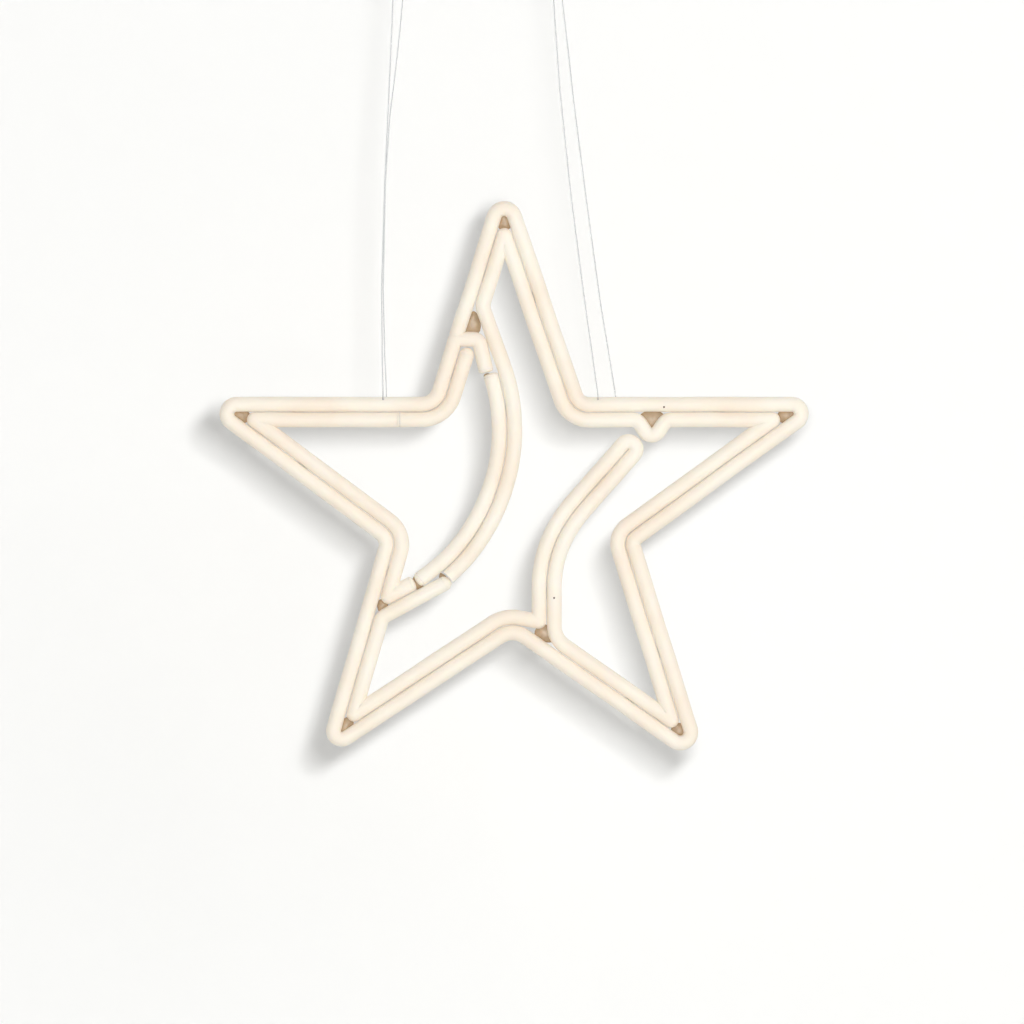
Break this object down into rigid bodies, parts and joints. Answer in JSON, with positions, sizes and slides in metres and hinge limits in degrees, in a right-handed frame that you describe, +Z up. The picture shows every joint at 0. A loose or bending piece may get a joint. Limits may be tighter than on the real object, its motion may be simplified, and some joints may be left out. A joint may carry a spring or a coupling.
{
  "type": "hanging star ornament",
  "caption": "Five-pointed star outline in doubled cream tube with two curved inner strands, hung on thin lines from ceiling hooks.",
  "frame": {"origin": "on the ceiling plane, midway between the two hooks that hold the star", "axes": "+Z up, +X across the star to the viewer's right, -Y towards the viewer: the star lies in the XZ plane and its front faces -Y"},
  "size_m": [0.304, 0.022, 0.4259],
  "materials": {
    "cream_tube": "soft moulded silicone tube, satin matte, very slightly translucent",
    "cream_cap": "soft moulded silicone cap, satin matte",
    "core_wire": "drawn soft armature wire",
    "clear_saddle": "clear moulded clip",
    "clear_line": "clear nylon monofilament",
    "crimp_metal": "plain crimp sleeve",
    "hook_paint": "white painted steel"
  },
  "bodies": {
    "ceiling_hooks": {"left_ceiling_hook": "hook_paint", "right_ceiling_hook": "hook_paint"},
    "hanging_lines": {"left_line": "clear_line", "right_line": "clear_line", "left_crimp": "crimp_metal", "right_crimp": "crimp_metal"},
    "star": {"outline_tube": "cream_tube", "outline_wire": "core_wire", "outline_start_cap": "cream_cap", "left_arm_tube": "cream_tube", "left_arm_wire": "core_wire", "left_arm_start_cap": "cream_cap", "left_arm_end_cap": "cream_cap", "shoulder_stub_tube": "cream_tube", "shoulder_stub_wire": "core_wire", "shoulder_stub_end_cap": "cream_cap", "left_arc_tube": "cream_tube", "left_arc_wire": "core_wire", "left_arc_start_cap": "cream_cap", "left_arc_end_cap": "cream_cap", "inner_loop_tube": "cream_tube", "inner_loop_wire": "core_wire", "inner_loop_start_cap": "cream_cap", "left_arm_upper_saddle": "clear_saddle", "left_arm_lower_saddle": "clear_saddle", "left_leg_knee_saddle": "clear_saddle", "left_leg_outer_saddle": "clear_saddle", "left_leg_inner_saddle": "clear_saddle", "right_leg_inner_saddle": "clear_saddle", "right_leg_outer_saddle": "clear_saddle", "right_arm_lower_saddle": "clear_saddle", "right_arm_upper_saddle": "clear_saddle", "top_arm_right_saddle": "clear_saddle", "top_arm_left_saddle": "clear_saddle", "shoulder_saddle": "clear_saddle", "left_arc_upper_saddle": "clear_saddle", "left_arc_lower_saddle": "clear_saddle", "right_arc_upper_saddle": "clear_saddle", "right_arc_lower_saddle": "clear_saddle"}
  },
  "joints": [
    {"name": "line_swing", "type": "hinge", "parent": "ceiling_hooks", "child": "hanging_lines", "pos_m": [0, 0, -0.0232], "axis": [1, 0, 0], "range_deg": [-16, 16]},
    {"name": "star_tilt", "type": "hinge", "parent": "hanging_lines", "child": "star", "pos_m": [0, 0, -0.2473], "axis": [1, 0, 0], "range_deg": [-15, 15]}
  ]
}
